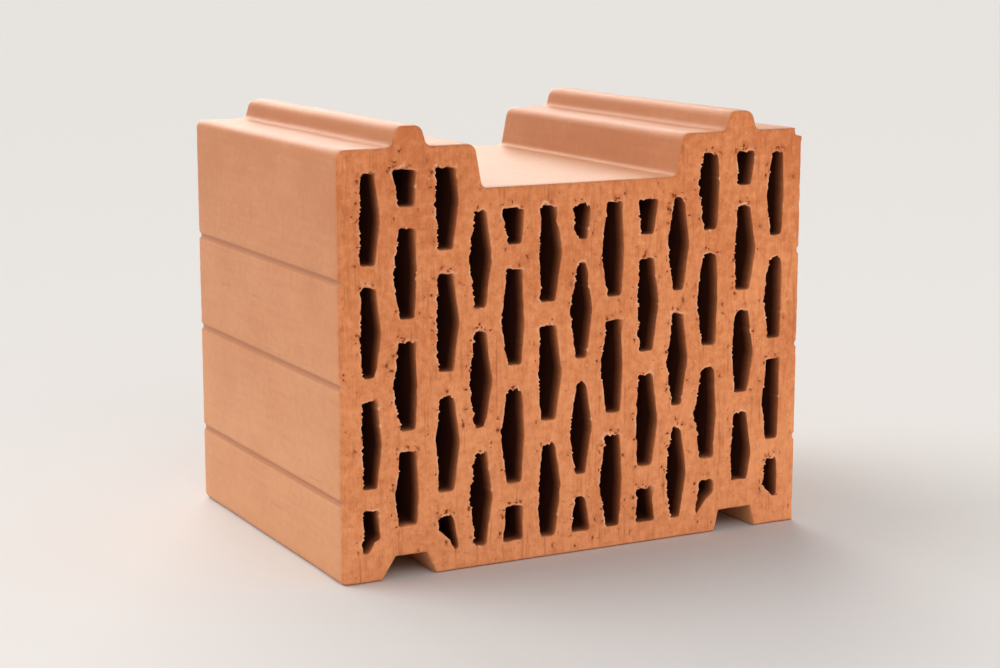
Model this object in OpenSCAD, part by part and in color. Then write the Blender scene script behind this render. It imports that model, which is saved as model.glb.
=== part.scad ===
// Perforated clay block with tongues, grooves and a mortar pocket.
// It was pushed through a die and cut by a wire, so one profile is drawn across it and swept along its cells.
// It stands on its grooved end: X runs across the wall that it builds, Y along the cells and Z up to the tongues.

/* [Block] */
// Width between the plaster faces, which is the thickness of the wall
block_w = 300; // [280:1:340]
// Length between the jointed ends, without the tongues
block_l = 240; // [215:1:290]
// Height of one course, along the cells
course_h = 219; // [60:1:300]
// Rounding of the plain top corner
corner_r = 5; // [1:0.5:8]
// Rounding of the bottom corner under it
heel_r = 4; // [1:0.5:6]
// Step of the notch in the other top corner
notch = 5; // [2:0.5:8]

/* [Tongues] */
// Distance from a plaster face to the middle of its tongue and groove
joint_inset = 43; // [40:0.5:48]
// Width of a tongue at its foot
tongue_foot_w = 22; // [18:0.5:26]
// Width of a tongue at its top
tongue_top_w = 15; // [10:0.5:17]
// Height of a tongue
tongue_h = 11.5; // [7:0.5:15]
// Rounding of a tongue's top
tongue_r = 5.5; // [1:0.5:6]
// Rounding where a tongue meets the block
foot_r = 4; // [0.5:0.5:5]

/* [Mortar pocket] */
// Width of the pocket at its mouth
pocket_mouth_w = 134; // [110:1:146]
// Width of the pocket at its floor
pocket_floor_w = 124.5; // [100:0.5:130]
// Depth of the pocket
pocket_depth = 24.5; // [15:0.5:32]
// Rounding of the pocket's rim
pocket_rim_r = 5.5; // [1:0.5:8]
// Rounding along the pocket's floor
pocket_floor_r = 3; // [0.5:0.5:6]

/* [Grooves] */
// Room left over the top of a tongue in its groove
groove_head_room = 1; // [0.5:0.5:3]
// Rounding of the grooves' mouths
groove_mouth_r = 1.5; // [0.5:0.5:3]
// Room beside a tongue's foot in the snug groove
snug_room = 2.75; // [1:0.25:5]
// Lean of the snug groove's sides, from mouth to roof
snug_lean = 2.75; // [1:0.25:5]
// Room beside a tongue's foot in the loose groove, towards the middle
loose_room = 3.25; // [1:0.25:5]
// Lean of that side, from mouth to roof
loose_lean = 5.5; // [1:0.25:7]
// Room beside a tongue's foot in the loose groove, towards the plaster face
loose_outer_room = 7.25; // [1:0.25:9]
// Lean of that side, from mouth to roof
loose_outer_lean = 8.5; // [1:0.25:10]

/* [Plaster keys] */
// Heights of the scored lines on the left plaster face
left_keys = [46.5, 111, 168.5]; // [15:0.5:210]
// Heights of the scored lines on the right plaster face
right_keys = [53, 110, 167]; // [15:0.5:210]
// Width of a scored line
key_w = 4.5; // [2:0.25:8]
// Depth of a scored line
key_depth = 1.6; // [0.5:0.1:3]

/* [Cells] */
// Columns of cells from the middle one out to the first column clear of the pocket
core_columns = 4; // [3:1:5]
// Cells one above the other under the pocket
core_rows = 3; // [2:1:4]
// Widest part of a cell
cell_w = 14.6; // [11:0.2:16]
// How far a cell's side swells out at half its length
cell_swell = 4.1; // [2:0.1:5]
// Rounding of a cell's corners
cell_r = 1.5; // [0.5:0.25:2]
// Rounding of a cell's side where it is widest
belly_r = 20; // [5:1:30]
// Clay between a cell and the next one above it, under the pocket
core_web = 14; // [8:0.5:20]
// Clay between the cells and the bottom, the pocket's floor or the top
end_wall = 12.5; // [8:0.5:16]
// Spacing of the columns beside and outside the grooves
ear_pitch = 23.2; // [21:0.1:25]
// Length of a cell in the two outer columns
ear_cell_l = 49.5; // [40:0.5:60]
// Clay between a cell and the next one above it in the two outer columns
ear_web = 12.5; // [8:0.5:20]
// Clay over the highest cell of the outermost column
ear_top_wall = 13.5; // [10:0.5:20]
// Clay under the lowest cell of the outermost column
foot_wall = 17; // [12:0.5:22]
// Widest part of a cell in the outermost column
edge_cell_w = 11.8; // [9:0.2:13]
// Clay between the outermost cells and a plaster face
side_wall = 13.4; // [10:0.2:16]
// Radius of the solid clay round the mouth of a groove
collar_r = 30.5; // [26:0.5:34]
// How far its middle lies from that of the groove, towards the plaster face
collar_shift = 1.5; // [0:0.25:3]
// Shortest cell that the die still has a core for
shortest_cell = 12; // [8:0.5:16]

/* [Hidden] */

// Straight steps in a rounded corner of the block and of a cell
arc_steps = 5;
cell_arc_steps = 3;
// A cell that is cut off nearer than this to its widest part ends there
belly_room = 6;
// Round and smooth enough for a collar's edge
$fn = 96;

joint_x = block_w / 2 - joint_inset;
groove_depth = tongue_h + groove_head_room;
pocket_floor_z = block_l - pocket_depth;

// Shares of cell_swell on the side towards the middle and on the side away from it, in turn over the columns
swell_shares = [[1, 1], [1, 0.35], [0.35, 1]];
// The same for the outermost column, whose outer side is nearly straight
edge_shares = [0.75, 0.1];

// Middles of the columns' ends, counted from the middle of the block
edge_x = block_w / 2 - side_wall - end_half_w(edge_cell_w, edge_shares);
over_groove_x = edge_x - ear_pitch;
core_edge_x = over_groove_x - ear_pitch;
core_pitch = core_edge_x / core_columns;

// Staggered rows under the pocket
core_top = pocket_floor_z - end_wall;
core_cell_l = (core_top - end_wall - (core_rows - 1) * core_web) / core_rows;
core_rise = core_cell_l + core_web;

// Staggered rows of the two outer columns, counted down from the top
ear_rise = ear_cell_l + ear_web;
ear_first_z = block_l - ear_top_wall - ear_cell_l / 2;
ear_rows = ceil(block_l / ear_rise);

// Half the width of a cell at its ends, where its sides haven't swelled
function end_half_w(width, shares) = (width - (shares[0] + shares[1]) * cell_swell) / 2;

function unit(v) = v / norm(v);

// Points of an arc of radius r that rounds the corner b between a and c
function round_corner(a, b, c, r, steps) =
    let (
        to_a = unit(a - b),
        to_c = unit(c - b),
        half = acos(to_a * to_c) / 2,
        centre = b + unit(to_a + to_c) * r / sin(half),
        start = b + to_a * r / tan(half) - centre,
        first = atan2(start.y, start.x),
        turn = -sign(cross(to_a, to_c)) * (180 - 2 * half)
    )
    [for (i = [0:steps]) let (angle = first + turn * i / steps) centre + r * [cos(angle), sin(angle)]];

// A closed outline from corners given as [x, z, radius]
function rounded(corners, steps) =
    let (count = len(corners), flat = [for (c = corners) [c[0], c[1]]])
    [for (i = [0:count - 1])
        each corners[i][2] > 0
            ? round_corner(flat[(i + count - 1) % count], flat[i], flat[(i + 1) % count], corners[i][2], steps)
            : [flat[i]]];

// Corners of a groove in the bottom, from left to right, with the reach of each side at its mouth and its lean
function groove(x, left_reach, left_lean, right_reach, right_lean) = [
    [x - left_reach, 0, groove_mouth_r],
    [x - left_reach + left_lean, groove_depth, 0],
    [x + right_reach - right_lean, groove_depth, 0],
    [x + right_reach, 0, groove_mouth_r],
];

// Corners of a tongue on the top, from right to left
function tongue(x) = [
    [x + tongue_foot_w / 2, block_l, foot_r],
    [x + tongue_top_w / 2, block_l + tongue_h, tongue_r],
    [x - tongue_top_w / 2, block_l + tongue_h, tongue_r],
    [x - tongue_foot_w / 2, block_l, foot_r],
];

// Corners of a scored line, from one lip over its bottom to the other lip
function key(face_x, z, up) = [
    [face_x, z - up * key_w / 2, 0],
    [face_x - sign(face_x) * key_depth, z, key_depth],
    [face_x, z + up * key_w / 2, 0],
];

function bottom_edge() =
    let (foot = tongue_foot_w / 2)
    concat(
        [[-block_w / 2, 0, heel_r]],
        groove(-joint_x, foot + loose_outer_room, loose_outer_lean, foot + loose_room, loose_lean),
        groove(joint_x, foot + snug_room, snug_lean, foot + snug_room, snug_lean),
        [[block_w / 2, 0, 0]]
    );

function top_edge() = concat(
    [
        [block_w / 2, block_l - notch, 0],
        [block_w / 2 - notch, block_l - notch, notch * 0.8],
        [block_w / 2 - notch, block_l, 0],
    ],
    tongue(joint_x),
    [
        [pocket_mouth_w / 2, block_l, pocket_rim_r],
        [pocket_floor_w / 2, pocket_floor_z, pocket_floor_r],
        [-pocket_floor_w / 2, pocket_floor_z, pocket_floor_r],
        [-pocket_mouth_w / 2, block_l, pocket_rim_r],
    ],
    tongue(-joint_x),
    [[-block_w / 2, block_l, corner_r]]
);

// Outline of a cell of the given length about z, cut off where it would leave the stretch from low to high
function cell_outline(x, z, length, width, shares, low, high) =
    let (
        half_w = end_half_w(width, shares),
        bottom = max(z - length / 2, low),
        top = min(z + length / 2, high),
        stops = [bottom, if (z > bottom + belly_room && z < top - belly_room) z, top],
        swell = [for (stop = stops) cell_swell * (1 - abs(stop - z) / (length / 2))],
        last = len(stops) - 1,
        radii = [for (i = [0:last]) i == 0 || i == last ? cell_r : belly_r]
    )
    top - bottom < shortest_cell ? [] : rounded(concat(
        [for (i = [0:last]) [x - half_w - shares[0] * swell[i], stops[i], radii[i]]],
        [for (i = [last:-1:0]) [x + half_w + shares[1] * swell[i], stops[i], radii[i]]]
    ), cell_arc_steps);

module cell(x, z, length, width, shares, low, high) {
    outline = cell_outline(x, z, length, width, shares, low, high);
    if (len(outline) > 0) polygon(outline);
}

// A column of the staggered field in the middle, which ends under the pocket or, clear of it, under the top
module core_column(column) {
    x = column * core_pitch;
    under_pocket = x - cell_w / 2 < pocket_mouth_w / 2;
    top = under_pocket ? core_top : block_l - end_wall;
    drop = column % 2 == 0 ? core_rise / 2 : 0;
    for (row = [0:core_rows])
        cell(x, end_wall + core_cell_l / 2 - drop + row * core_rise, core_cell_l, cell_w,
            swell_shares[column % 3], end_wall, top);
}

// The two outer columns, of which the one over the groove is half a row higher
module ear_columns() {
    for (row = [0:ear_rows]) {
        z = ear_first_z - row * ear_rise;
        cell(edge_x, z, ear_cell_l, edge_cell_w, edge_shares, foot_wall, block_l - end_wall);
        cell(over_groove_x, z + ear_rise / 2, ear_cell_l, cell_w,
            swell_shares[(core_columns + 1) % 3], foot_wall, block_l - end_wall);
    }
}

// All the cells on one side of the middle column
module side_cells() {
    difference() {
        union() {
            for (column = [1:core_columns]) core_column(column);
            ear_columns();
        }
        translate([joint_x + collar_shift, 0]) circle(r = collar_r);
    }
}

module profile() {
    difference() {
        polygon(rounded(concat(
            bottom_edge(),
            [for (z = right_keys) each key(block_w / 2, z, 1)],
            top_edge(),
            [for (i = [len(left_keys) - 1:-1:0]) each key(-block_w / 2, left_keys[i], -1)]
        ), arc_steps));
        core_column(0);
        side_cells();
        mirror([1, 0]) side_cells();
    }
}

module clay_block() {
    color("peru")
        translate([0, course_h / 2, 0])
            rotate([90, 0, 0])
                linear_extrude(course_h)
                    profile();
}

clay_block();
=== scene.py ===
# %% [markdown]
# # A perforated clay block, dressed for its portrait
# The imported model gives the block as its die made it: a clean profile, swept straight. A real block was then
# cut by a wire and fired. The wire smeared the two cut faces, tore the rims of the cells and left nibs and
# pits. This lesson builds that fired block as one closed mesh over the clean one, then gives it its finishes.
# Lengths on the block are in mm until the mesh is made. The floor, the lamps and the camera are in metres.

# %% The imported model
import math

import bpy
import numpy as np
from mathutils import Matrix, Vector
from mathutils.geometry import delaunay_2d_cdt


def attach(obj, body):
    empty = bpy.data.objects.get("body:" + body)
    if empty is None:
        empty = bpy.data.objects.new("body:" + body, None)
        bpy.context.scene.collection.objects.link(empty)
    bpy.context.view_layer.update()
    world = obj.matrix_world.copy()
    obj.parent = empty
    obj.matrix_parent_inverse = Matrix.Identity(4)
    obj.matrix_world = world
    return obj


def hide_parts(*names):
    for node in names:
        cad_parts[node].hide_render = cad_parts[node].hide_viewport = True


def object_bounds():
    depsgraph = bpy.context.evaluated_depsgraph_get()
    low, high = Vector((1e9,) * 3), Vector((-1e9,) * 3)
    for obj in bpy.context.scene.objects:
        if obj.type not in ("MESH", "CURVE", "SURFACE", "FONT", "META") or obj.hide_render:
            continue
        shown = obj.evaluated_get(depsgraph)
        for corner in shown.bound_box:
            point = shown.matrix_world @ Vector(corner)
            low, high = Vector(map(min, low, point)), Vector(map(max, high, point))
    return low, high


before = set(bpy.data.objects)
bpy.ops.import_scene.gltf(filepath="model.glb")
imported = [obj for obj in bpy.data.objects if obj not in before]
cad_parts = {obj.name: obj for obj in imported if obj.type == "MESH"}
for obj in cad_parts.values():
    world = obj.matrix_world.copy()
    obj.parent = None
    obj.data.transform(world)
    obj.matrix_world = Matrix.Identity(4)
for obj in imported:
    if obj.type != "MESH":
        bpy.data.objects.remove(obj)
cad_low, cad_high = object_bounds()
MM = 0.001
die_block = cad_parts["clay_block"]
front_y = cad_low.y / MM
back_y = cad_high.y / MM
block_top = cad_high.z / MM
half_width = (cad_high.x - cad_low.x) / 2 / MM
print("die-made block, mm:", [round((high - low) / MM, 1) for low, high in zip(cad_low, cad_high)])

# %% [markdown]
# ## Noise to break the clay up with
# Torn clay is irregular at several sizes at once. Blender's displace modifier could shake finished points,
# but here the noise also decides where points go. A value noise on a lattice is enough for that, and in numpy
# it handles all points in one go and gives the same numbers on every run.

# %% Lattice noise
HASH_PRIMES = (374761393, 668265263, 1274126177)
SEED_STRIDE = 144665
HASH_MASK = 0x7FFFFFFF
HASH_TOP = 0xFFFF
TEST_SEED = 1904


def lattice_noise(points, seed):
    """Smooth random values from -1 to 1 at points of any dimension, one lattice cell per unit."""
    cell = np.floor(points).astype(np.int64)
    part = points - cell
    part = part * part * (3 - 2 * part)
    total = np.zeros(len(points))
    primes = np.array(HASH_PRIMES[: points.shape[1]], dtype=np.int64)
    for corner in np.ndindex(*(2,) * points.shape[1]):
        corner = np.array(corner)
        mixed = ((cell + corner) * primes).sum(1) + seed * SEED_STRIDE
        mixed = (mixed ^ (mixed >> 13)) & HASH_MASK
        mixed = (mixed * HASH_PRIMES[2]) & HASH_MASK
        mixed = (mixed ^ (mixed >> 16)) & HASH_TOP
        weight = np.where(corner == 1, part, 1 - part).prod(1)
        total += weight * (mixed / (HASH_TOP / 2) - 1)
    return total


def rough(points, size, seed, layers=2):
    """Noise whose largest lumps are about size across, with finer layers on top."""
    points = np.asarray(points, float) / size
    return sum(lattice_noise(points * 2**i, seed + i) / 2**i for i in range(layers))


test_shares = np.random.default_rng(TEST_SEED).random((2000, 2))
print("noise spread:", np.round(rough(test_shares * 100, 5, 1).std(), 2))

# %% [markdown]
# ## The die's own lines
# The clean block already holds the outline of the profile and of every cell: they are the borders of its
# front face. They could be drawn again from sizes, but reading them from the mesh keeps the fired block on
# the die's lines, with nothing to measure twice.

# %% Border lines of the front face
FLAT_WITHIN = 0.01
KEY_DIGITS = 3


def border_loops(mesh, plane_y):
    """Closed loops of (x, z) corners in mm round the flat face at plane_y, with the clay on their left."""
    mesh.calc_loop_triangles()
    points = np.array([v.co for v in mesh.vertices]) / MM
    triangles = np.array([t.vertices for t in mesh.loop_triangles])
    on_plane = (np.abs(points[triangles][:, :, 1] - plane_y) < FLAT_WITHIN).all(1)
    keys = [tuple(p) for p in np.round(points[:, [0, 2]], KEY_DIGITS)]
    edges = set()
    for a, b, c in triangles[on_plane]:
        edges.update([(keys[a], keys[b]), (keys[b], keys[c]), (keys[c], keys[a])])
    following = {a: b for a, b in edges if (b, a) not in edges}
    loops = []
    while following:
        start = min(following)
        loop = [start]
        step = following.pop(start)
        while step != start:
            loop.append(step)
            step = following.pop(step)
        loops.append(np.array(loop))
    return sorted(loops, key=lambda loop: -np.ptp(loop[:, 0]))


outline_corners, *cell_corners = border_loops(die_block.data, front_y)
print("outline corners:", len(outline_corners), "cells:", len(cell_corners))

# %% [markdown]
# ## Finer points
# The die's lines have corners only where they bend, and a torn edge needs a point every millimetre or so. A
# subdivide would add them evenly. Walking along each line instead allows short steps on the sides that the
# wire tears and longer ones on the sides that it smooths, which saves triangles for the pits.

# %% Finer points along a line
TORN_STEP = 0.75
SOFT_STEP = 1.6
OUTLINE_STEP = 2.0
STEP_SLACK = 0.25
TORN_SIDE = 0.5


def resample(corners, step_for):
    """Points along a closed loop, about as far apart as step_for says for the way that a stretch faces."""
    points = []
    for a, b in zip(corners, np.roll(corners, -1, axis=0)):
        length = np.linalg.norm(b - a)
        facing = np.array([b[1] - a[1], a[0] - b[0]]) / length
        count = max(1, math.ceil(length / step_for(facing) - STEP_SLACK))
        points.extend(a + (b - a) * i / count for i in range(count))
    return np.array(points)


def soften(points, passes):
    """The same loop with its corners rounded off a little."""
    for _ in range(passes):
        points = (np.roll(points, 1, axis=0) + 2 * points + np.roll(points, -1, axis=0)) / 4
    return points


def rim_step(facing):
    """Short steps on the sides that the wire tears, long ones on those that it smooths."""
    return TORN_STEP if max(facing[0], -facing[1]) > TORN_SIDE else SOFT_STEP


def outward(points):
    """Unit directions from the clay into the air, at each point of a closed loop."""
    along = np.roll(points, -1, axis=0) - np.roll(points, 1, axis=0)
    out = np.stack([along[:, 1], -along[:, 0]], axis=1)
    return out / np.linalg.norm(out, axis=1, keepdims=True)


cell_loops = [soften(resample(corners, rim_step), 1) for corners in cell_corners]
outline = resample(outline_corners, lambda facing: OUTLINE_STEP)
print("points on the cells' rims:", sum(map(len, cell_loops)), "on the outline:", len(outline))

# %% [markdown]
# ## How the wire left the roofs
# Some cells came out worse than others: on the left more roofs broke open at the corners, and on the right
# more were arched over by dragged clay. A roof could be sculpted cell by cell. Here one rule picks a fate for
# each cell by its place and by seeded chance, so that no two are alike.

# %% Roofs, broken open or arched
ROOF_REACH = 5.0
SIDE_REACH = 120
OPEN_CHANCE = 0.5
OPEN_CHANCE_LOSS = 0.42
CORNER_WIDTH = 2.0
CORNER_BREAK = (0.4, 1.7)
ARCH_PASSES = 45
ARCH_RARITY = 1.5
ARCH_PULL = 0.5


def roof_shape(points, draw):
    """The loop with its roof broken open at the corners, or arched where dragged clay fills them."""
    top = points[:, 1].max()
    near_roof = np.exp(-(((top - points[:, 1]) / ROOF_REACH) ** 2))[:, None]
    to_right = np.clip(points[:, 0].mean() / SIDE_REACH, -1, 1)
    if draw.random() < OPEN_CHANCE - OPEN_CHANCE_LOSS * to_right:
        from_middle = points[:, 0] - points[:, 0].mean()
        spread = np.tanh(from_middle / CORNER_WIDTH) * draw.uniform(*CORNER_BREAK)
        return points + near_roof * np.column_stack([spread, np.zeros(len(points))])
    for _ in range(int(ARCH_PASSES * draw.random() ** ARCH_RARITY)):
        middles = (np.roll(points, 1, axis=0) + np.roll(points, -1, axis=0)) / 2
        points = points + ARCH_PULL * near_roof * (middles - points)
    return points


test_roof = roof_shape(cell_loops[0], np.random.default_rng(TEST_SEED))
print("one roof moved by up to, mm:", np.round(np.abs(test_roof - cell_loops[0]).max(), 2))

# %% [markdown]
# ## Rims that never cross themselves
# Pushing a rim's points about can fold it over, and a folded border makes holes in the face. Blender's merge
# and clean-up tools mend that after the fact. It is simpler never to fold: the push is halved wherever two
# nearby stretches of the rim would cross.

# %% Untangling a pushed rim
NEAR_STRETCHES = range(2, 13)


def turn(a, b, c):
    """Positive where c lies to the left of the way from a to b."""
    return (b[:, 0] - a[:, 0]) * (c[:, 1] - a[:, 1]) - (b[:, 1] - a[:, 1]) * (c[:, 0] - a[:, 0])


def untangled(points, shift):
    """The shift, halved wherever the shifted rim would cross itself."""
    crossed = np.ones(len(points), bool)
    while crossed.any():
        crossed[:] = False
        rim = points + shift
        after = np.roll(rim, -1, axis=0)
        for gap in NEAR_STRETCHES:
            far = np.roll(rim, -gap, axis=0)
            far_after = np.roll(after, -gap, axis=0)
            across = turn(rim, after, far) * turn(rim, after, far_after) <= 0
            across &= turn(far, far_after, rim) * turn(far, far_after, after) <= 0
            for step in range(gap + 2):
                crossed |= np.roll(across, step)
        shift = np.where(crossed[:, None], shift / 2, shift)
    return shift


wild_shift = np.random.default_rng(TEST_SEED).normal(0, TORN_STEP, cell_loops[0].shape)
calm_shift = untangled(cell_loops[0], wild_shift)
print("share of a wild push that is kept:", np.round(np.abs(calm_shift).sum() / np.abs(wild_shift).sum(), 2))

# %% [markdown]
# ## Torn and clean rims
# The wire was dragged down and to one side, over both ends of the block alike. Where it ran off a rim, it
# left a clean edge. Where it ran onto a rim, clay broke away: bites, fine teeth and small hanging nibs. In a
# cell that means a torn roof and left side, and a clean floor and right side. All of this is a push of the
# rim's points across the face, plus two values that the finish and the rounding use later: the pale of the
# nibs with a painted highlight along the torn sides, and the softness of the clean sides.

# %% Waves and teeth along a rim
# How far each kind reaches, and how large its waves are
DRIFT = 0.3
DRIFT_SIZE = 15.0
DRIFT_STEEPNESS = 2.5
CLEAN_WAVE = 0.22
CLEAN_WAVE_SIZE = 4.5
TEETH = 0.52
TEETH_SIZE = 2.0
ROOF_TEETH = 0.4
ROOF_TEETH_SIZE = 1.6


def rim_sides(out):
    """How torn, how clean and how much a roof each rim point is, from 0 to 1, by the way that it faces."""
    crisp = np.clip(np.maximum(out[:, 0], -out[:, 1]), 0, 1)
    soft = np.clip(np.maximum(-out[:, 0], out[:, 1]), 0, 1)
    roof = np.clip(-out[:, 1], 0, 1) ** 2
    return crisp, soft, roof


def rim_waves(points, out, wear, seed):
    """How far waves and teeth push each rim point into the air, in mm."""
    crisp, soft, roof = rim_sides(out)
    drift = DRIFT * np.tanh(DRIFT_STEEPNESS * rough(points, DRIFT_SIZE, seed + 3))
    waves = drift + soft * CLEAN_WAVE * rough(points, CLEAN_WAVE_SIZE, seed)
    teeth = crisp * TEETH * rough(points, TEETH_SIZE, seed + 5)
    teeth = teeth + roof * ROOF_TEETH * rough(points, ROOF_TEETH_SIZE, seed + 9)
    return waves + wear * teeth


test_rim = cell_loops[0]
test_waves = rim_waves(test_rim, outward(test_rim), 1.0, TEST_SEED)
print("waves along one rim, from low to high, mm:", np.round(np.ptp(test_waves), 2))

# %% A torn rim, with bites, bulges and nibs
WEAR = (0.5, 1.5)
ANYWHERE = 0.002
BITES = (3, 8)
BITE_WIDTH = (0.7, 1.7)
BITE_DEPTH = (0.4, 1.2)
SIDE_BITES = 0.12
CLEAN_BITE = 0.3
BULGE_CHANCE = 0.4
BULGE_WIDTH = (1.2, 3.0)
BULGE_HEIGHT = (0.5, 1.3)
NIB_CHANCE = 0.09
CLEAN_NIBS = 0.1
NIB_STRENGTH = (0.4, 1.0)
NIB_LENGTH = 0.9
# A painted highlight along the torn sides, pale as the nibs
HIGHLIGHT_MIDDLE = 0.25
HIGHLIGHT_SPREAD = 0.5
HIGHLIGHT_SIZE = 4.0


def bump(points, draw, chances, width):
    """A smooth hump along the rim, 1 at a spot picked by the points' chances."""
    centre = points[draw.choice(len(points), p=chances / chances.sum())]
    return np.exp(-(((points - centre) ** 2).sum(1)) / width**2)


def torn_rim(points, out, seed):
    """For each rim point: its shift across the face in mm, its nib and painted highlight, and its softness."""
    draw = np.random.default_rng(seed)
    crisp, soft, roof = rim_sides(out)
    wear = draw.uniform(*WEAR)
    reach = rim_waves(points, out, wear, seed)
    for _ in range(draw.integers(*BITES)):
        bite = bump(points, draw, SIDE_BITES * crisp + roof + ANYWHERE, draw.uniform(*BITE_WIDTH))
        reach -= wear * draw.uniform(*BITE_DEPTH) * bite * (CLEAN_BITE + (1 - CLEAN_BITE) * crisp)
    if draw.random() < BULGE_CHANCE:
        height = draw.uniform(*BULGE_HEIGHT)
        reach += height * bump(points, draw, soft + ANYWHERE, draw.uniform(*BULGE_WIDTH))
    chance = wear * NIB_CHANCE * (crisp + CLEAN_NIBS * soft)
    nib = np.where(draw.random(len(points)) < chance, draw.uniform(*NIB_STRENGTH, len(points)), 0.0)
    # Painted highlight along the torn sides, on top of the pale nibs
    painted_rim_highlight = crisp * (HIGHLIGHT_MIDDLE + HIGHLIGHT_SPREAD * rough(points, HIGHLIGHT_SIZE, seed + 13))
    pale = np.clip(np.maximum(nib, painted_rim_highlight), 0, 1)
    shift = roof_shape(points, draw) - points + out * (reach + NIB_LENGTH * nib)[:, None]
    return untangled(points, shift), pale, soft


test_shift, test_pale, _ = torn_rim(test_rim, outward(test_rim), TEST_SEED)
print("one torn rim: shift up to, mm:", np.round(np.abs(test_shift).max(), 2))
print("one torn rim: pale share:", np.round(test_pale.mean(), 2))

# %% [markdown]
# ## What lies in the clay
# Pits and face points may only go where there is clay, so two questions come up often: is a point inside the
# profile, and how far is it from the nearest rim? Counting the borders on the way right answers the first for
# any shape with holes, and needs no mesh yet.

# %% Inside the clay, and how far from a rim
TARGETS_AT_ONCE = 400


def inside_clay(points, loops):
    """True for points in the profile's clay, by counting the borders crossed on the way right."""
    crossings = np.zeros(len(points), int)
    for loop in loops:
        after = np.roll(loop, -1, axis=0)
        for (x0, z0), (x1, z1) in zip(loop, after):
            if z0 == z1:
                continue
            spans = (points[:, 1] >= min(z0, z1)) & (points[:, 1] < max(z0, z1))
            cross_x = x0 + (points[:, 1] - z0) * (x1 - x0) / (z1 - z0)
            crossings += spans & (points[:, 0] < cross_x)
    return crossings % 2 == 1


def distance_to(points, targets):
    """Distance from each point to the nearest target."""
    nearest = np.full(len(points), np.inf)
    for part in np.array_split(targets, max(1, len(targets) // TARGETS_AT_ONCE)):
        gaps = ((points[:, None, :] - part[None, :, :]) ** 2).sum(2)
        nearest = np.minimum(nearest, gaps.min(1))
    return np.sqrt(nearest)


profile_low = outline.min(0)
profile_high = outline.max(0)
test_spots = profile_low + test_shares * (profile_high - profile_low)
test_clay = inside_clay(test_spots, [outline_corners, *cell_corners])
print("clay in the profile's box, share:", np.round(test_clay.mean(), 2))

# %% [markdown]
# ## Pits and scars
# Grit torn out by the wire leaves small pits in loose groups, and scars above the torn roofs. A bump texture
# could suggest them, but real ones are deep enough to hold a shadow. So they are hollows here, with points of
# their own in the face, and each point keeps a pit value that the finish darkens with painted shade.

# %% Pits in a cut face
PIT_COUNT = 150
TRIES_PER_PIT = 12
GROUP_SIZE = 26.0
GROUP_BLUR = 0.9
GROUP_LEVEL = 0.45
PIT_ROOM = 1.2
NEAR_RIM = 3.2
FAR_SHARE = 0.5
PIT_DEPTH = (0.35, 0.9)
DEPTH_PER_SIZE = 1.4
PIT_DARKNESS = (0.35, 1.0)
# Least size, spread of sizes, and how rare the large ones are
PIT_SIZE = (0.34, 0.75, 2.5)
PIT_TALLNESS = (0.9, 2.0, 1.5)


def mostly_small(draw, least, spread, rarity, count):
    """Random sizes from least upward, with the large ones rarer as rarity grows."""
    return least + spread * draw.random(count) ** rarity


def scatter_pits(loops, seed):
    """Pits as (x, z, half width, half height, depth, darkness), in groups and clear of the rims."""
    draw = np.random.default_rng(seed)
    tries = profile_low + draw.random((PIT_COUNT * TRIES_PER_PIT, 2)) * (profile_high - profile_low)
    grouped = rough(tries, GROUP_SIZE, seed) + GROUP_BLUR * draw.random(len(tries)) > GROUP_LEVEL
    tries = tries[grouped]
    tries = tries[inside_clay(tries, loops)]
    away = distance_to(tries, np.concatenate(loops))
    keep = (away > PIT_ROOM) & (draw.random(len(tries)) < np.where(away < NEAR_RIM, 1.0, FAR_SHARE))
    tries = tries[keep][:PIT_COUNT]
    size = mostly_small(draw, *PIT_SIZE, len(tries))
    tall = mostly_small(draw, *PIT_TALLNESS, len(tries))
    depth = draw.uniform(*PIT_DEPTH, len(tries)) * np.minimum(1, size * DEPTH_PER_SIZE)
    dark = draw.uniform(*PIT_DARKNESS, len(tries))
    return np.column_stack([tries, size, size * tall, depth, dark])


print("pits in a clean face:", len(scatter_pits([outline, *cell_loops], TEST_SEED)))

# %% Scars above the roofs
SCARS_PER_CELL = 15
SCAR_RARITY = 1.3
SIDE_SCARS = 0.1
SCAR_AWAY = (0.5, 3.2)
SCAR_STRAY = (-0.8, 0.8)
SCAR_SIZE = (0.3, 1.2, 1.6)
SCAR_DEPTH = (0.4, 1.0)
SCAR_DARKNESS = (0.7, 1.2)


def scatter_scars(rims, seed):
    """Scars in the same form as pits, most of them close above the roofs of the cells."""
    draw = np.random.default_rng(seed)
    scars = []
    for rim in rims:
        out = outward(rim)
        chances = np.clip(-out[:, 1], 0, 1) ** 2 + SIDE_SCARS * np.clip(out[:, 0], 0, 1) + ANYWHERE
        count = int(SCARS_PER_CELL * draw.random() ** SCAR_RARITY)
        for spot in draw.choice(len(rim), count, p=chances / chances.sum()):
            x, z = rim[spot] - out[spot] * draw.uniform(*SCAR_AWAY) + draw.uniform(*SCAR_STRAY, 2)
            wide, tall = mostly_small(draw, *SCAR_SIZE, 2)
            scars.append([x, z, wide, tall, draw.uniform(*SCAR_DEPTH), draw.uniform(*SCAR_DARKNESS)])
    return np.array(scars)


print("scars above clean rims:", len(scatter_scars(cell_loops, TEST_SEED)))

# %% How deep and how dark a pit makes a point
def pit_value(points, pits):
    """How deep each point lies in a pit, in mm, and how dark its painted shade is, from 0 at the edge."""
    depth = np.zeros(len(points))
    value = np.zeros(len(points))
    for x, z, wide, tall, deep, dark in pits:
        away = ((points[:, 0] - x) / wide) ** 2 + ((points[:, 1] - z) / tall) ** 2
        inside = np.clip(1 - away, 0, 1)
        depth = np.maximum(depth, deep * inside)
        value = np.maximum(value, dark * inside)
    return depth, value


one_pit = [(0.0, 0.0, 1.0, 1.0, 0.5, 1.0)]
print("a pit's middle: depth in mm and darkness:", *pit_value(np.zeros((1, 2)), one_pit))

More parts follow.
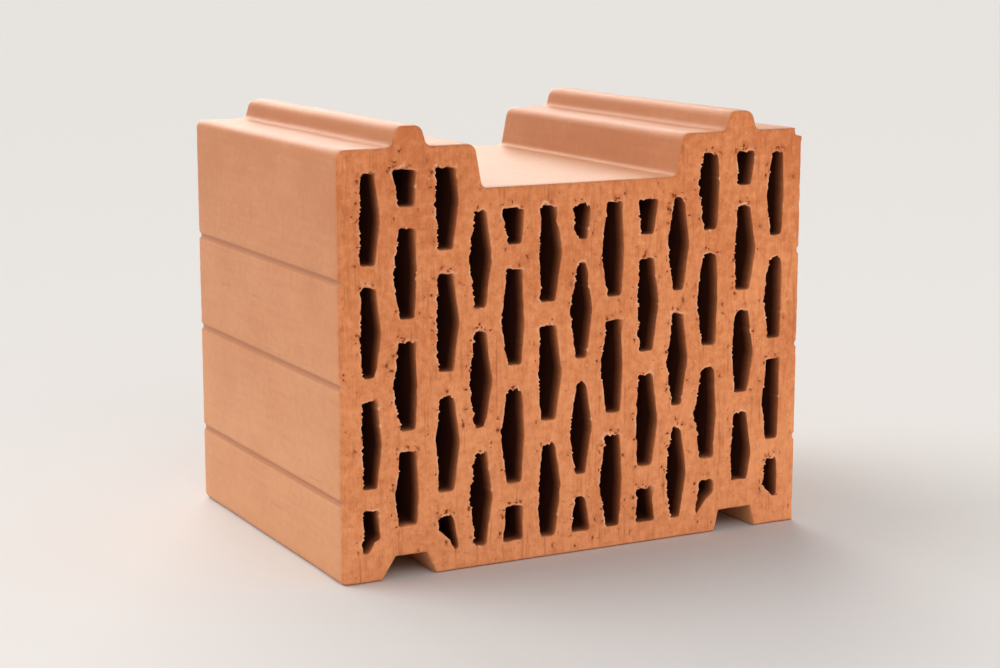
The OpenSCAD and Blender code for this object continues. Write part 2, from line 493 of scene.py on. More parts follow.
# %% [markdown]
# ## A cut face
# The face is one sheet of triangles between the outline and the torn rims. A boolean cut would give long thin
# triangles there. A constrained Delaunay triangulation takes the borders as they are and fills the clay
# between them with any points that are offered: a loose grid, a row beside each rim, and the rings of the
# pits.

# %% Points round the pits
# Share of a pit's size, and number of points, for each of its rings
PIT_RINGS = ((0.55, 5), (1.0, 8))
PIT_WOBBLE = (0.75, 1.2)


def pit_rings(pits, draw):
    """A middle point and two uneven rings of points for each pit."""
    points = []
    for x, z, wide, tall, *_ in pits:
        points.append([[x, z]])
        for share, count in PIT_RINGS:
            angle = np.arange(count) * 2 * math.pi / count + draw.random()
            wobble = share * draw.uniform(*PIT_WOBBLE, count)
            ring = np.column_stack([x + wide * wobble * np.cos(angle), z + tall * wobble * np.sin(angle)])
            points.append(ring)
    return np.concatenate(points)


print("points round one pit:", len(pit_rings(one_pit, np.random.default_rng(TEST_SEED))))

# %% Points to offer to a cut face
FACE_STEP = 2.5
GRID_SHAKE = 0.32
BESIDE_RIM = 1.15
BESIDE_ROOM = 0.6
PIT_TO_RIM = 0.35
GRID_TO_RIM = 1.25
GRID_TO_PIT = 0.9
BESIDE_TO_PIT = 0.5


def face_points(loops, rims_out, pits, seed):
    """Points to offer inside the clay: a shaken grid, a row along the rims, and the pits."""
    draw = np.random.default_rng(seed)
    columns = np.arange(profile_low[0], profile_high[0], FACE_STEP)
    rows = np.arange(profile_low[1], profile_high[1], FACE_STEP)
    grid = np.stack(np.meshgrid(columns, rows), axis=-1).reshape(-1, 2)
    grid = grid + draw.uniform(-GRID_SHAKE, GRID_SHAKE, grid.shape) * FACE_STEP
    grid = grid[inside_clay(grid, loops)]
    rims = np.concatenate(loops)
    beside = np.concatenate([loop[::2] - BESIDE_RIM * out[::2] for loop, out in zip(loops, rims_out)])
    beside = beside[inside_clay(beside, loops)]
    beside = beside[distance_to(beside, rims) > BESIDE_ROOM]
    in_pits = pit_rings(pits, draw)
    in_pits = in_pits[inside_clay(in_pits, loops) & (distance_to(in_pits, rims) > PIT_TO_RIM)]
    grid = grid[distance_to(grid, np.concatenate([rims, beside])) > GRID_TO_RIM]
    grid = grid[distance_to(grid, in_pits) > GRID_TO_PIT]
    beside = beside[distance_to(beside, in_pits) > BESIDE_TO_PIT]
    print("points offered: grid", len(grid), "beside rims", len(beside), "in pits", len(in_pits))
    return np.concatenate([grid, beside, in_pits])


clean_columns, clean_rows = np.ceil((profile_high - profile_low) / FACE_STEP).astype(int)
print("grid laid over the profile:", clean_columns, "by", clean_rows)

# %% Triangles of a cut face
FILL_HULL = 0
MERGE_WITHIN = 1e-7


def triangulate(loops, inner):
    """Points and triangles of the clay: first the loops' points in order, then the inner ones."""
    points = np.concatenate([*loops, inner])
    edges = []
    start = 0
    for loop in loops:
        numbers = np.arange(start, start + len(loop))
        edges.extend(zip(numbers.tolist(), np.roll(numbers, -1).tolist()))
        start += len(loop)
    flat = [Vector(p) for p in points]
    made, _, faces, sources, _, _ = delaunay_2d_cdt(flat, edges, [], FILL_HULL, MERGE_WITHIN, True)
    number = [source[0] if source else -1 for source in sources]
    triangles = np.array([[number[i] for i in face] for face in faces])
    triangles = triangles[(triangles >= 0).all(1)]
    middles = points[triangles].mean(1)
    triangles = triangles[inside_clay(middles, loops)]
    print("face points:", len(points), "made:", len(made), "triangles:", len(triangles))
    return points, triangles


square = np.array([[0.0, 0.0], [1.0, 0.0], [1.0, 1.0], [0.0, 1.0]])
triangulate([square], np.array([[0.5, 0.4]]))

# %% [markdown]
# ## One closed mesh
# Each cut face is joined to the cells' walls and to the outside by rings of points: the torn rim fades out
# within a few millimetres, and behind it run the smooth walls that the die left. The rings of the two faces
# meet in the middle of the block, so the mesh has no open edge. One small class gathers the points, the
# triangles, their finish, and the point values that the finishes read.

# %% Gathering the mesh
MARKS = ("pit", "nib", "score", "shade", "film")
CUT, SKIN, WALL = 0, 1, 2


class Clay:
    """Points, triangles and point values of the mesh as it grows."""

    def __init__(self):
        self.points = []
        self.faces = []
        self.finish = []
        self.values = []
        self.count = 0

    def add_points(self, xz, y, **marks):
        """Adds points at depth y with their marks, 0 where none is given, and returns their numbers."""
        self.points.append(np.column_stack([xz[:, 0], np.broadcast_to(y, len(xz)), xz[:, 1]]))
        values = [np.broadcast_to(marks.get(word, 0.0), len(xz)) for word in MARKS]
        self.values.append(np.column_stack(values))
        first = self.count
        self.count += len(xz)
        return np.arange(first, self.count)

    def add_faces(self, faces, finish):
        """Adds triangles that share a finish."""
        self.faces.append(faces)
        self.finish.append(np.full(len(faces), finish))

    def add_band(self, near, far, sizes, finish):
        """Two triangles for each step between two rings of loops, facing the air."""
        start = 0
        for size in sizes:
            step = np.arange(start, start + size)
            a, d = near[step], far[step]
            b, c = np.roll(a, -1), np.roll(d, -1)
            self.add_faces(np.concatenate([np.column_stack([a, c, b]), np.column_stack([a, d, c])]), finish)
            start += size


clay = Clay()
print("marks kept for each point:", MARKS)

# %% [markdown]
# ## The block's outside
# A cut edge isn't sharp: the wire draws it in by a millimetre or so and chips it here and there. The die also
# scored shallow lines into the two plaster faces, which get painted shade. The mortar pocket's floor gets
# a painted sheen that makes it paler. Both are known from where a point lies on the outline, so they are
# worked out once and kept as point values.

# %% The outer edge and its marks
EDGE_ROUND = 1.4
EDGE_WAVE = 0.12
EDGE_WAVE_SIZE = 3.5
CHIP_SIZE = 5.0
CHIP_LEVEL = 0.6
DEEPEST_CHIP = 0.4
SCORE_INSET = (0.3, 3)
SCORE_HEIGHTS = (20, 200)
POCKET_MIDDLE = 20
POCKET_HALF_WIDTH = 72
# How far up the pocket's foot the painted sheen reaches, in mm
SHEEN_REACH = 5
outline_out = outward(outline)


def outline_shift(seed):
    """How the wire drew the block's outer edge in from the die's line, as shifts in mm."""
    chips = np.clip(rough(outline, CHIP_SIZE, seed + 3) - CHIP_LEVEL, 0, DEEPEST_CHIP)
    inset = EDGE_ROUND * (1 + EDGE_WAVE * rough(outline, EDGE_WAVE_SIZE, seed) + chips)
    return untangled(outline, -outline_out * inset[:, None])


def score_value():
    """Painted shade: 1 in the scored lines of the plaster faces, else 0, for the outline's points."""
    inset = half_width - np.abs(outline[:, 0])
    in_line = (inset > SCORE_INSET[0]) & (inset < SCORE_INSET[1])
    on_face = (outline[:, 1] > SCORE_HEIGHTS[0]) & (outline[:, 1] <= SCORE_HEIGHTS[1])
    return np.where(in_line & on_face, 1.0, 0.0)


def film_value():
    """Painted sheen: 1 on the mortar pocket's floor, less up its foot, for the outline's points."""
    pocket_floor = outline[np.abs(outline[:, 0]) < POCKET_MIDDLE, 1].max()
    near_floor = np.clip(1 - np.abs(outline[:, 1] - pocket_floor) / SHEEN_REACH, 0, 1)
    in_pocket = np.abs(outline[:, 0]) < POCKET_HALF_WIDTH
    return near_floor * np.clip(outline_out[:, 1], 0, 1) * in_pocket


score = score_value()
film = film_value()
print("outline points in scored lines:", int(score.sum()), "in the pale film:", int((film > 0).sum()))

# %% [markdown]
# ## The face that the wire left
# A wire never cuts quite flat. The face lies a little uneven, with fine lines down the way of the drag. It
# sinks into the pits and along the clean rims, and stands proud at the nibs. A displace modifier moves points
# by one texture at a time. Here each point of the face is set back by the sum of what happened there.

# %% The cut face
SLOW_WAVE = 0.12
SLOW_WAVE_SIZE = 28.0
FINE_WAVE = 0.05
FINE_WAVE_SIZE = 4.0
DRAG_LINES = 0.05
DRAG_LINES_SIZE = 2.4
DRAG_WAY = (1.0, 0.05)
FACE_SETBACK = 0.15
SOFT_SINK = 0.15
NIB_RISE = 0.25


def face_lie(points, seed):
    """How far the face dips or rises at its points, in mm."""
    lie = SLOW_WAVE * rough(points, SLOW_WAVE_SIZE, seed)
    lie = lie + FINE_WAVE * rough(points, FINE_WAVE_SIZE, seed + 10)
    return lie + DRAG_LINES * rough(points * DRAG_WAY, DRAG_LINES_SIZE, seed + 20)


def cut_face(y, inward, seed, border, rims, nib, soft):
    """Adds a cut face between its border and the cells' rims, and returns its points' numbers."""
    loops = [border, *rims]
    pits = np.concatenate([scatter_pits(loops, seed + 200), scatter_scars(rims, seed + 250)])
    inner = face_points(loops, [outward(loop) for loop in loops], pits, seed + 300)
    points, triangles = triangulate(loops, inner)
    depth, pit = pit_value(points, pits)
    on_rim = slice(len(border), len(border) + len(nib))
    at_rim = np.zeros(len(points))
    at_rim[on_rim] = nib
    soft_rim = np.zeros(len(points))
    soft_rim[on_rim] = soft
    sink = np.maximum(0, face_lie(points, seed + 400) + FACE_SETBACK) + depth
    sink = sink + SOFT_SINK * soft_rim - NIB_RISE * at_rim
    numbers = clay.add_points(points, y + inward * sink, pit=pit, nib=at_rim)
    clay.add_faces(numbers[triangles if inward > 0 else triangles[:, ::-1]], CUT)
    return numbers


print("dips of a face, mm:", np.round(np.ptp(face_lie(outline, TEST_SEED)), 2))

# %% [markdown]
# ## Rings behind the face
# A rim is torn only where the wire touched it. An extrude would carry the torn line right through the block.
# So rings of points go down the cells' walls and round the outer edge, and each keeps less of the torn line
# than the one before. The walls also keep a value for painted shade: deep in a cell hardly any light is left.

# %% Rings into the cells and round the edge
# Depth of each ring in mm, and the shares of the torn line and of the soft edge that are left there
CELL_RINGS = [(0.3, 0.75, 0.35), (1.1, 0.3, 0.05), (4.5, 0.08, 0.0), (14.0, 0.0, 0.0)]
SOFT_EDGE = 0.6
SHADE_DEPTH = 10.0
SHADE_CURVE = 1.25
# Depth of each ring in mm, and the share of the edge's rounding that is left there
EDGE_RINGS = [(0.45, 0.57), (1.4, 0.25), (4.0, 0.04), (16.0, 0.0)]
cell_sizes = [len(loop) for loop in cell_loops]
cell_points = np.concatenate(cell_loops)
cell_out = np.concatenate([outward(loop) for loop in cell_loops])


def facing_air(near, far, inward):
    """Two rings in the order that makes the band between them face the air."""
    return (near, far) if inward > 0 else (far, near)


def cut_end(y, inward, seed):
    """One cut face with its rims, rings of cell walls and outer edge; returns the deepest rings' numbers."""
    torn = [torn_rim(loop, outward(loop), seed + 20 * i) for i, loop in enumerate(cell_loops)]
    # nib carries the pale of the nibs and the painted highlight along the torn rims
    shift, nib, soft = (np.concatenate(parts) for parts in zip(*torn))
    edge_shift = outline_shift(seed + 90)

    def cell_ring(torn_share, soft_share):
        return cell_points + torn_share * shift - cell_out * (soft_share * SOFT_EDGE * soft)[:, None]

    rims = np.split(cell_ring(1.0, 1.0), np.cumsum(cell_sizes)[:-1])
    numbers = cut_face(y, inward, seed, outline + edge_shift, rims, nib, soft)
    side, ring = np.split(numbers[: len(outline) + len(cell_points)], [len(outline)])
    for deep, torn_share, soft_share in CELL_RINGS:
        shade = min(1, deep / SHADE_DEPTH) ** SHADE_CURVE
        line = cell_ring(torn_share, soft_share)
        after = clay.add_points(line, y + inward * deep, nib=torn_share * nib, shade=shade)
        clay.add_band(*facing_air(ring, after, inward), cell_sizes, WALL)
        ring = after
    for deep, share in EDGE_RINGS:
        line = outline + share * edge_shift
        after = clay.add_points(line, y + inward * deep, score=score, film=(1 - share) * film)
        finish = CUT if deep <= EDGE_ROUND else SKIN
        clay.add_band(*facing_air(side, after, inward), [len(outline)], finish)
        side = after
    return ring, side


FRONT_SEED, BACK_SEED = 11, 3011
front_cells, front_side = cut_end(front_y, 1, FRONT_SEED)
back_cells, back_side = cut_end(back_y, -1, BACK_SEED)
print("points in the two cut ends:", clay.count)

# %% [markdown]
# ## Walls and sides
# Between the two ends the cells' walls run straight, so one long band is enough for them. The outside isn't
# quite flat on a real block: it sways by a fraction of a millimetre, because soft clay sags before it is
# fired. A noise in the bump could show that only in the shading, so a few stations along the block carry it.

# %% Walls and swaying sides
SIDE_STATIONS = 9
SWAY = 0.15
SWAY_SIZE = 60.0
SWAY_SEED = 77
clay.add_band(front_cells, back_cells, cell_sizes, WALL)
deepest_ring = EDGE_RINGS[-1][0]
stations = np.linspace(front_y + deepest_ring, back_y - deepest_ring, SIDE_STATIONS + 2)[1:-1]
side = front_side
for station in stations:
    where = np.column_stack([outline, np.full(len(outline), station)])
    sway = SWAY * (1 + rough(where, SWAY_SIZE, SWAY_SEED))
    line = outline - outline_out * np.maximum(sway, 0)[:, None]
    after = clay.add_points(line, station, score=score, film=film)
    clay.add_band(side, after, [len(outline)], SKIN)
    side = after
clay.add_band(side, back_side, [len(outline)], SKIN)
print("side stations, mm:", np.round(stations).astype(int).tolist())

# %% [markdown]
# ## The fired block as a Blender object
# The gathered arrays become one mesh. Each mark is a point attribute, which a shader can read without any
# image. All faces are smooth, and edges that turn by more than a set angle are marked sharp, so that the
# crisp rims stay crisp. The die-made block is hidden, and the fired block rides on the root body.

# %% The fired block
SHARP_DEG = 48


def make_block(name):
    """The mesh of the gathered clay, as an object in the scene."""
    faces = np.concatenate(clay.faces)
    values = np.concatenate(clay.values)
    mesh = bpy.data.meshes.new(name)
    mesh.from_pydata((np.concatenate(clay.points) * MM).tolist(), [], faces.tolist())
    mesh.polygons.foreach_set("material_index", np.concatenate(clay.finish).astype(np.int32))
    mesh.polygons.foreach_set("use_smooth", np.ones(len(faces), bool))
    for column, word in enumerate(MARKS):
        layer = mesh.attributes.new(word, "FLOAT", "POINT")
        layer.data.foreach_set("value", values[:, column].astype(np.float32))
    mesh.set_sharp_from_angle(angle=math.radians(SHARP_DEG))
    mesh.update()
    block = bpy.data.objects.new(name, mesh)
    bpy.context.scene.collection.objects.link(block)
    return block


fired_block = make_block("fired_block")
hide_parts("clay_block")
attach(fired_block, "root")
print("fired block:", len(fired_block.data.vertices), "points,", len(fired_block.data.polygons), "triangles")

# %% [markdown]
# ## Helpers for shader nodes
# A finish is a tree of small nodes: noises, spans, sums and mixes. They could be wired by hand in the shader
# editor. In a script, one short function for each kind of node keeps the wiring readable.

# %% Node helpers
def new_node(tree, kind, **settings):
    """A node of a kind, with its settings."""
    node = tree.nodes.new(kind)
    for name, value in settings.items():
        setattr(node, name, value)
    return node


def feed(tree, sockets, values):
    """Gives each socket its value: a link where it is a socket, else a constant."""
    for socket, value in zip(sockets, values):
        if isinstance(value, (int, float, tuple)):
            socket.default_value = value
        else:
            tree.links.new(value, socket)


def noise_node(tree, vector, scale, detail=3.0, roughness=0.55):
    """Noise from 0 to 1, mostly near a half."""
    node = new_node(tree, "ShaderNodeTexNoise")
    sockets = [node.inputs[word] for word in ("Vector", "Scale", "Detail", "Roughness")]
    feed(tree, sockets, (vector, scale, detail, roughness))
    return node.outputs["Fac"]


def span_node(tree, value, low, high, to_low=0.0, to_high=1.0):
    """The value's stretch from low to high, carried over to another stretch and cut off at its ends."""
    node = new_node(tree, "ShaderNodeMapRange")
    sockets = [node.inputs[word] for word in ("Value", "From Min", "From Max", "To Min", "To Max")]
    feed(tree, sockets, (value, low, high, to_low, to_high))
    return node.outputs["Result"]


print("nodes come from Blender", bpy.app.version_string)

# %% Sums and mixes
def math_node(tree, operation, first, second):
    """One sum, difference, product or larger value."""
    node = new_node(tree, "ShaderNodeMath", operation=operation)
    feed(tree, node.inputs, (first, second))
    return node.outputs["Value"]


def times(tree, first, second):
    """A product."""
    return math_node(tree, "MULTIPLY", first, second)


def plus(tree, first, *others):
    """A sum of any number of values."""
    for other in others:
        first = math_node(tree, "ADD", first, other)
    return first


def about_half(tree, value, amount):
    """A noise value centred on 0 and scaled by amount."""
    return times(tree, math_node(tree, "SUBTRACT", value, 0.5), amount)


def mix_node(tree, factor, first, second):
    """A colour between two others."""
    node = new_node(tree, "ShaderNodeMix", data_type="RGBA")
    feed(tree, [s for s in node.inputs if s.enabled], (factor, first, second))
    return [s for s in node.outputs if s.enabled][0]


print("made: helpers for sums, products and mixes")

# %% [markdown]
# ## Clay as a finish
# All surfaces of the block are the same fired clay, worked in three ways. Separate materials would repeat
# most of their nodes, so what they share is one node group: cloudy colour, streaks along the way that the
# clay was dragged, dark flecks, grains of lime, painted shade that deepens the tone toward the top, and the
# height for a bump. Each finish gives the group its own colours and streaks and keeps its own shader.

# %% Sockets and places of the clay group
GROUP_INPUTS = {
    "NodeSocketColor": ("Pale", "Deep", "Fleck"),
    "NodeSocketVector": ("Streak Way",),
    "NodeSocketFloat": ("Streaks", "Mottle", "Smears", "Flecks", "Lime", "Painted Top Shade", "Dullness"),
}
GROUP_OUTPUTS = {"NodeSocketColor": ("Colour",), "NodeSocketFloat": ("Roughness", "Height")}


def add_sockets(tree, in_out, sockets):
    """The named inputs or outputs of a group."""
    for kind, words in sockets.items():
        for word in words:
            tree.interface.new_socket(word, in_out=in_out, socket_type=kind)


def clay_places(tree, streak_way):
    """Places on the block in mm, and the same places squeezed for streaks along the drag."""
    place = new_node(tree, "ShaderNodeTexCoord")
    scaled = new_node(tree, "ShaderNodeVectorMath", operation="SCALE")
    scaled.inputs["Scale"].default_value = 1 / MM
    tree.links.new(place.outputs["Object"], scaled.inputs[0])
    squeezed = new_node(tree, "ShaderNodeVectorMath", operation="MULTIPLY")
    feed(tree, squeezed.inputs, (scaled.outputs["Vector"], streak_way))
    return scaled.outputs["Vector"], squeezed.outputs["Vector"]


print("clay group takes:", [word for words in GROUP_INPUTS.values() for word in words])

# %% The shared clay group
CLOUD_MM = 40
MOTTLE_MM = 5
GRAIN_MM = 0.9
FLECK_MM = 1.7
LIME_MM = 2.6
# Scales along the drag, where the streak way already sets the size
STREAK_SCALE = 1.0
SMEAR_SCALE = 0.33
HAIR_SCALE = 1.7
# The stretch of each noise over which its mark comes in
SMEAR_SPAN = (0.58, 0.74)
FLECK_SPAN = (0.64, 0.72)
HAIR_SPAN = (0.66, 0.74)
LIME_SPAN = (0.73, 0.79)
LIME_PALE = (0.92, 0.62, 0.36, 1.0)
CLOUD_TONE = 1.1
GRAIN_TONE = 0.5
FULL_TONE = 2.0
GRAIN_RELIEF = 0.35
MOTTLE_RELIEF = 0.4
FLECK_RELIEF = 0.6
GRAIN_DULLNESS = 0.3


def clay_group():
    """The group that all clay finishes share."""
    tree = bpy.data.node_groups.new("fired_clay_body", "ShaderNodeTree")
    add_sockets(tree, "INPUT", GROUP_INPUTS)
    add_sockets(tree, "OUTPUT", GROUP_OUTPUTS)
    given = new_node(tree, "NodeGroupInput").outputs
    result = new_node(tree, "NodeGroupOutput").inputs
    millimetres, along = clay_places(tree, given["Streak Way"])
    cloud = noise_node(tree, millimetres, 1 / CLOUD_MM, detail=4.0)
    mottle = noise_node(tree, millimetres, 1 / MOTTLE_MM, detail=4.0, roughness=0.6)
    grain = noise_node(tree, millimetres, 1 / GRAIN_MM, roughness=0.65)
    fleck = noise_node(tree, millimetres, 1 / FLECK_MM, detail=2.0, roughness=0.5)
    lime = noise_node(tree, millimetres, 1 / LIME_MM, detail=1.0, roughness=0.5)
    streak = noise_node(tree, along, STREAK_SCALE, roughness=0.6)
    smear = noise_node(tree, along, SMEAR_SCALE, roughness=0.7)
    hair = noise_node(tree, along, HAIR_SCALE, detail=2.0, roughness=0.5)
    upright = new_node(tree, "ShaderNodeSeparateXYZ")
    tree.links.new(millimetres, upright.inputs[0])
    # Painted shade: the tone deepens toward the top and pales toward the foot
    top_shade = span_node(tree, upright.outputs["Z"], 0.0, block_top, to_low=-0.5, to_high=0.5)
    tone = plus(
        tree,
        about_half(tree, cloud, CLOUD_TONE),
        about_half(tree, grain, GRAIN_TONE),
        times(tree, about_half(tree, mottle, FULL_TONE), given["Mottle"]),
        times(tree, about_half(tree, streak, FULL_TONE), given["Streaks"]),
        times(tree, top_shade, given["Painted Top Shade"]),
    )
    body = mix_node(tree, span_node(tree, tone, -0.5, 0.5), given["Pale"], given["Deep"])
    smear_mask = times(tree, span_node(tree, smear, *SMEAR_SPAN), given["Smears"])
    fleck_mask = times(tree, span_node(tree, fleck, *FLECK_SPAN), given["Flecks"])
    hair_mask = times(tree, span_node(tree, hair, *HAIR_SPAN), given["Streaks"])
    dark_mask = math_node(tree, "MAXIMUM", smear_mask, math_node(tree, "MAXIMUM", fleck_mask, hair_mask))
    body = mix_node(tree, dark_mask, body, given["Fleck"])
    lime_mask = times(tree, span_node(tree, lime, *LIME_SPAN), given["Lime"])
    body = mix_node(tree, lime_mask, body, LIME_PALE)
    dullness = plus(tree, given["Dullness"], about_half(tree, grain, GRAIN_DULLNESS))
    raised = plus(
        tree,
        times(tree, grain, GRAIN_RELIEF),
        times(tree, mottle, MOTTLE_RELIEF),
        times(tree, streak, given["Streaks"]),
    )
    relief = math_node(tree, "SUBTRACT", raised, times(tree, fleck_mask, FLECK_RELIEF))
    feed(tree, (result["Colour"], result["Roughness"], result["Height"]), (body, dullness, relief))
    return tree


CLAY_GROUP = clay_group()
print("clay group:", len(CLAY_GROUP.nodes), "nodes")

# %% [markdown]
# ## Three finishes of the same clay
# The wire left the cut faces matt and streaked downward. The die left the outside smooth, a little shiny and
# streaked along the block. The cells' walls are streaked the same way, but dull, in darker colours that are
# painted shade. Painted vertex colours could do for each of them. Here every finish lays its marks over the
# group's colour instead: painted shade in the pits and in the scored lines, pale torn nibs with a painted
# highlight along the torn rims, painted shade deep in the cells, and a painted sheen on the pocket's floor.

# %% A clay finish
MARK_FULL = 0.7


def clay_finish(name, colours, numbers, bump_mm, shine, marks):
    """A finish that uses the clay group; marks lists (point value, colour, strength) laid over it."""
    material = bpy.data.materials.new(name)
    material.use_nodes = True
    tree = material.node_tree
    shader = tree.nodes["Principled BSDF"]
    body = new_node(tree, "ShaderNodeGroup", node_tree=CLAY_GROUP)
    for word, colour in colours.items():
        body.inputs[word].default_value = (*colour, 1)
    for word, value in numbers.items():
        body.inputs[word].default_value = value
    colour = body.outputs["Colour"]
    for word, tint, strength in marks:
        value = new_node(tree, "ShaderNodeAttribute", attribute_name=word)
        mask = times(tree, span_node(tree, value.outputs["Fac"], 0.0, MARK_FULL), strength)
        colour = mix_node(tree, mask, colour, (*tint, 1.0))
    relief = new_node(tree, "ShaderNodeBump")
    relief.inputs["Distance"].default_value = bump_mm * MM
    relief.inputs["Strength"].default_value = 1.0
    tree.links.new(body.outputs["Height"], relief.inputs["Height"])
    tree.links.new(colour, shader.inputs["Base Color"])
    tree.links.new(body.outputs["Roughness"], shader.inputs["Roughness"])
    tree.links.new(relief.outputs["Normal"], shader.inputs["Normal"])
    shader.inputs["Specular IOR Level"].default_value = shine
    fired_block.data.materials.append(material)
    print("finish:", name, "with marks:", [word for word, *_ in marks])


print("a mark shows in full from a point value of", MARK_FULL)

# %% Cut faces, outer skin and cell walls
# Painted shade in the pits and scars
PIT_SHADE_BROWN = (0.22, 0.038, 0.009)
# Pale of the torn nibs, and a painted highlight along the torn rims
NIB_AND_HIGHLIGHT_PEACH = (0.86, 0.50, 0.31)
# Painted shade in the scored lines
SCORE_SHADE_BROWN = (0.38, 0.14, 0.058)
# Painted sheen that makes the pocket's floor paler
PAINTED_SHEEN_PEACH = (0.78, 0.54, 0.38)
# Painted shade deep in the cells
SHADE_BROWN = (0.058, 0.011, 0.003)
# Added in the order of their numbers CUT, SKIN and WALL
clay_finish(
    "wire_cut_clay",
    colours={"Pale": (0.76, 0.29, 0.12), "Deep": (0.55, 0.167, 0.056), "Fleck": (0.34, 0.085, 0.026)},
    numbers={"Streak Way": (0.9, 0.9, 0.07), "Streaks": 0.34, "Mottle": 0.9, "Smears": 0.6, "Flecks": 0.4,
             "Lime": 0.4, "Painted Top Shade": 0.55, "Dullness": 0.88},
    bump_mm=0.3,
    shine=0.2,
    marks=[("pit", PIT_SHADE_BROWN, 0.95), ("nib", NIB_AND_HIGHLIGHT_PEACH, 0.75)],
)
clay_finish(
    "die_skin_clay",
    colours={"Pale": (0.65, 0.295, 0.135), "Deep": (0.53, 0.2, 0.078), "Fleck": (0.40, 0.15, 0.065)},
    numbers={"Streak Way": (0.3, 0.012, 0.3), "Streaks": 0.3, "Mottle": 0.35, "Smears": 0.15, "Flecks": 0.1,
             "Lime": 0.0, "Painted Top Shade": 1.0, "Dullness": 0.5},
    bump_mm=0.06,
    shine=0.42,
    marks=[("score", SCORE_SHADE_BROWN, 0.6), ("film", PAINTED_SHEEN_PEACH, 0.2)],
)
# The walls' colours are darker than the skin's: painted shade
clay_finish(
    "cell_wall_clay",
    colours={"Pale": (0.62, 0.225, 0.09), "Deep": (0.46, 0.135, 0.045), "Fleck": (0.24, 0.06, 0.02)},
    numbers={"Streak Way": (0.5, 0.012, 0.5), "Streaks": 0.5, "Mottle": 0.5, "Smears": 0.2, "Flecks": 0.3,
             "Lime": 0.0, "Painted Top Shade": 0.0, "Dullness": 0.85},
    bump_mm=0.2,
    shine=0.2,
    marks=[("shade", SHADE_BROWN, 0.96), ("nib", NIB_AND_HIGHLIGHT_PEACH, 0.6)],
)

# %% [markdown]
# ## Floor
# A block is photographed on something plain. One large matt square is enough, far wider than the view, so
# that no edge of it shows from any side.

# %% Floor
FLOOR_REACH = 60.0
FLOOR_GREY = (0.74, 0.73, 0.72, 1)


def make_floor(size):
    """A matt square round the origin."""
    mesh = bpy.data.meshes.new("floor")
    corners = [(-size, -size, 0), (size, -size, 0), (size, size, 0), (-size, size, 0)]
    mesh.from_pydata(corners, [], [(0, 1, 2, 3)])
    floor = bpy.data.objects.new("floor", mesh)
    bpy.context.scene.collection.objects.link(floor)
    material = bpy.data.materials.new("pale_floor")
    material.use_nodes = True
    shader = material.node_tree.nodes["Principled BSDF"]
    shader.inputs["Base Color"].default_value = FLOOR_GREY
    shader.inputs["Roughness"].default_value = 1.0
    shader.inputs["Specular IOR Level"].default_value = 0.0
    mesh.materials.append(material)
    return floor


floor = make_floor(FLOOR_REACH)
print("floor:", floor.name)

# %% [markdown]
# ## Light
# Soft studio light: a box from the left, a high box in front, and two low cards that lift the foot of the two
# visible sides, as white card on a table does. Two wide suns from behind make the top of the block the
# brightest part. The cards stand close to the floor and would leave a bright pool on it, so they are linked
# to the block alone. An even sky fills the rest.

# %% Kinds of lamps
def soft_box(name, place, aim, size, power):
    """A rectangular lamp in metres and watts, turned toward a point."""
    lamp = bpy.data.lights.new(name, "AREA")
    lamp.shape = "RECTANGLE"
    lamp.size, lamp.size_y = size
    lamp.energy = power
    box = bpy.data.objects.new(name, lamp)
    box.visible_camera = False
    box.location = place
    box.rotation_euler = (Vector(aim) - Vector(place)).to_track_quat("-Z", "Y").to_euler()
    bpy.context.scene.collection.objects.link(box)
    return box


def soft_sun(name, turn_deg, height_deg, strength, spread_deg, colour):
    """A far light at a bearing from the front round to the right, as wide as spread_deg in the sky."""
    lamp = bpy.data.lights.new(name, "SUN")
    lamp.energy = strength
    lamp.color = colour
    lamp.angle = math.radians(spread_deg)
    sun = bpy.data.objects.new(name, lamp)
    bearing, height = math.radians(turn_deg), math.radians(height_deg)
    level = math.cos(height)
    toward = Vector((math.sin(bearing) * level, -math.cos(bearing) * level, math.sin(height)))
    sun.rotation_euler = (-toward).to_track_quat("-Z", "Y").to_euler()
    bpy.context.scene.collection.objects.link(sun)
    return sun


def keep_off_floor(boxes):
    """Links the boxes to the block alone, so that no bright pool shows on the floor beside them."""
    receivers = bpy.data.collections.new("lit_by_cards")
    receivers.objects.link(fired_block)
    for box in boxes:
        box.light_linking.receiver_collection = receivers
    print("block alone is lit by:", [box.name for box in boxes])


middle = (cad_low + cad_high) / 2
print("lamps aim at, mm:", [round(side / MM) for side in middle])

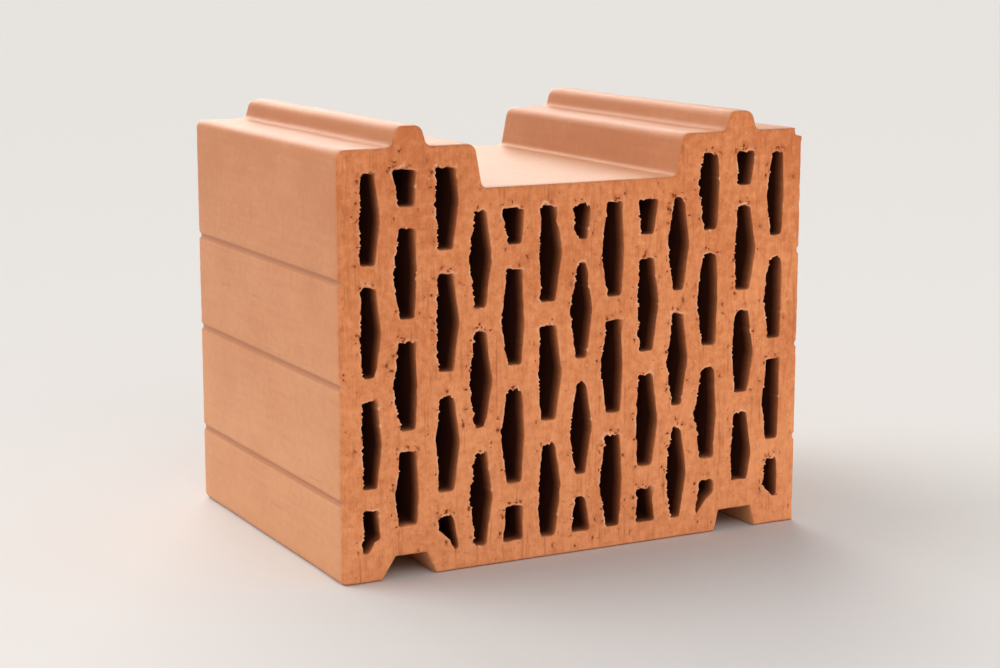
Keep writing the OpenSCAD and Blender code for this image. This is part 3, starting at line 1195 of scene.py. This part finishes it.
# %% Lamps in their places
WARM_LIGHT = (1.0, 0.95, 0.89)
soft_box("left_box", place=(-1.9, -0.35, 0.45), aim=middle, size=(1.0, 0.8), power=2.6)
soft_box("high_box", place=(-0.4, -1.7, 1.4), aim=middle, size=(1.2, 0.8), power=5)
left_foot = (-0.15, 0, 0.06)
front_foot = (0.06, -0.11, 0.06)
left_card = soft_box("left_card", place=(-0.78, -0.05, 0.03), aim=left_foot, size=(0.5, 0.1), power=0.4)
front_card = soft_box("front_card", place=(0.3, -0.8, 0.03), aim=front_foot, size=(0.7, 0.1), power=3.1)
keep_off_floor([left_card, front_card])
soft_sun("back_sun", turn_deg=167, height_deg=25, strength=1.85, spread_deg=42, colour=WARM_LIGHT)
soft_sun("left_sun", turn_deg=230, height_deg=44, strength=1.65, spread_deg=50, colour=WARM_LIGHT)

# %% Sky
SKY_WHITE = (0.97, 0.97, 0.98, 1)
SKY_STRENGTH = 0.48
world = bpy.data.worlds.new("studio")
bpy.context.scene.world = world
world.use_nodes = True
sky = world.node_tree.nodes["Background"]
sky.inputs["Color"].default_value = SKY_WHITE
sky.inputs["Strength"].default_value = SKY_STRENGTH
# The plain view shows the clay's colours as they are, without the look of film
bpy.context.scene.view_settings.view_transform = "Standard"
print("sky strength:", SKY_STRENGTH)

# %% [markdown]
# ## Camera
# The camera stands where the photograph was taken from. Its place, turn and lens were found by fitting the
# block's own edges to the photograph's, so nothing else has to be moved to match it.

# %% Camera
PHOTO_WIDTH_PX = 1000
FOCAL_PX = 2144.9
SENSOR_MM = 36.0
CAMERA_PLACE = (-0.5975, -1.1520, 0.3506)
CAMERA_TURN_DEG = 27.61
CAMERA_DIP_DEG = 10.48
lens = bpy.data.cameras.new("photo_camera")
lens.sensor_width = SENSOR_MM
lens.lens = SENSOR_MM * FOCAL_PX / PHOTO_WIDTH_PX
camera = bpy.data.objects.new("photo_camera", lens)
camera.location = CAMERA_PLACE
camera.rotation_euler = (math.radians(90 - CAMERA_DIP_DEG), 0, math.radians(-CAMERA_TURN_DEG))
bpy.context.scene.collection.objects.link(camera)
bpy.context.scene.camera = camera
print("lens, mm:", round(lens.lens, 1))
